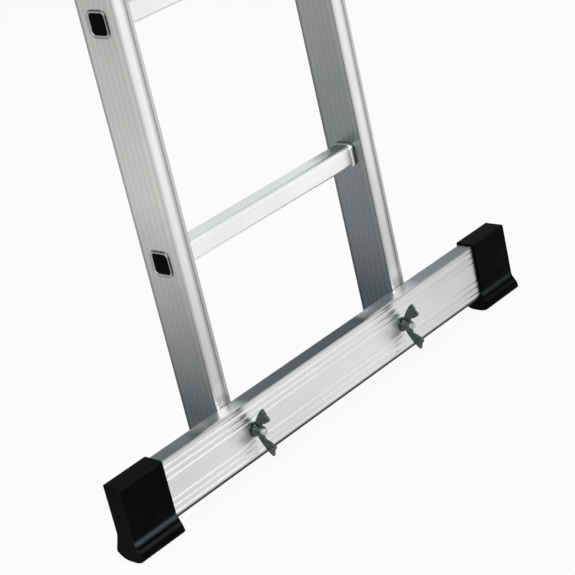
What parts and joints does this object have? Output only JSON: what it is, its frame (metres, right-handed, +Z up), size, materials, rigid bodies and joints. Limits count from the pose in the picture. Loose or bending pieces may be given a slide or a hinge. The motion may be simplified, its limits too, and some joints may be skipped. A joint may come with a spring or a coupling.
{
  "type": "extension ladder",
  "caption": "Aluminium push-up extension ladder: a sliding fly section in front of a base section, with a clamped stabiliser bar on rubber boots.",
  "frame": {"origin": "on the floor, midway between the two boots and in the middle of the gap between fly and base", "axes": "+Z up along the stiles, +X to the ladder's right seen from the climber's side, -Y towards the climber"},
  "size_m": [0.702, 0.1294, 3.209],
  "materials": {
    "stile": "satin extruded, fluted sides",
    "rung": "satin extruded",
    "bar": "satin extruded",
    "guide": "satin",
    "cast_hook": "as cast",
    "rivet": "bright",
    "zinc": "zinc plated",
    "black_plastic": "moulded",
    "boot_rubber": "moulded, slight sheen"
  },
  "bodies": {
    "base": {"base_stile_left": "stile", "base_stile_right": "stile", "base_rung_1": "rung", "base_rung_2": "rung", "base_rung_3": "rung", "base_rung_4": "rung", "base_rung_5": "rung", "base_rung_6": "rung", "base_rung_7": "rung", "base_rung_8": "rung", "base_rung_plugs": "black_plastic", "stabiliser_bar": "bar", "boot_left": "boot_rubber", "boot_right": "boot_rubber", "clamp_bolt_left": "zinc", "clamp_bolt_right": "zinc", "bar_washers": "zinc", "base_top_cap_left": "black_plastic", "base_top_cap_right": "black_plastic", "base_foot_plug_left": "black_plastic", "base_foot_plug_right": "black_plastic", "base_guide_left": "guide", "base_guide_right": "guide", "base_guide_rivets": "rivet"},
    "fly": {"fly_stile_left": "stile", "fly_stile_right": "stile", "fly_rung_1": "rung", "fly_rung_2": "rung", "fly_rung_3": "rung", "fly_rung_4": "rung", "fly_rung_5": "rung", "fly_rung_6": "rung", "fly_rung_7": "rung", "fly_rung_8": "rung", "fly_rung_plugs": "black_plastic", "fly_top_cap_left": "black_plastic", "fly_top_cap_right": "black_plastic", "fly_foot_plug_left": "black_plastic", "fly_foot_plug_right": "black_plastic", "fly_guide_left": "guide", "fly_guide_right": "guide", "fly_guide_rivets": "rivet", "rung_hook_left": "cast_hook", "rung_hook_right": "cast_hook", "hook_rivets": "rivet", "catch_pins": "zinc"},
    "wing_nut_left": {"wing_nut_left": "zinc"},
    "hook_catch_left": {"hook_catch_left": "zinc"},
    "wing_nut_right": {"wing_nut_right": "zinc"},
    "hook_catch_right": {"hook_catch_right": "zinc"}
  },
  "joints": [
    {"name": "fly_slide", "type": "slide", "parent": "base", "child": "fly", "axis": [0, 0, 1], "range_m": [-0.84, 0.56]},
    {"name": "hook_catch_left_pivot", "type": "hinge", "parent": "fly", "child": "hook_catch_left", "pos_m": [-0.1347, 0.001, 1.0965], "axis": [-1, 0, 0], "range_deg": [0, 60], "stiffness_Nm_per_rad": 0.05, "springref_deg": -20.05},
    {"name": "hook_catch_right_pivot", "type": "hinge", "parent": "fly", "child": "hook_catch_right", "pos_m": [0.1347, 0.001, 1.0965], "axis": [-1, 0, 0], "range_deg": [0, 60], "stiffness_Nm_per_rad": 0.05, "springref_deg": -20.05},
    {"name": "wing_nut_left_turn", "type": "hinge", "parent": "base", "child": "wing_nut_left", "pos_m": [-0.1434, -0.028, 0.0565], "axis": [0, -1, 0], "continuous": true},
    {"name": "wing_nut_right_turn", "type": "hinge", "parent": "base", "child": "wing_nut_right", "pos_m": [0.1324, -0.028, 0.0565], "axis": [0, -1, 0], "continuous": true}
  ]
}
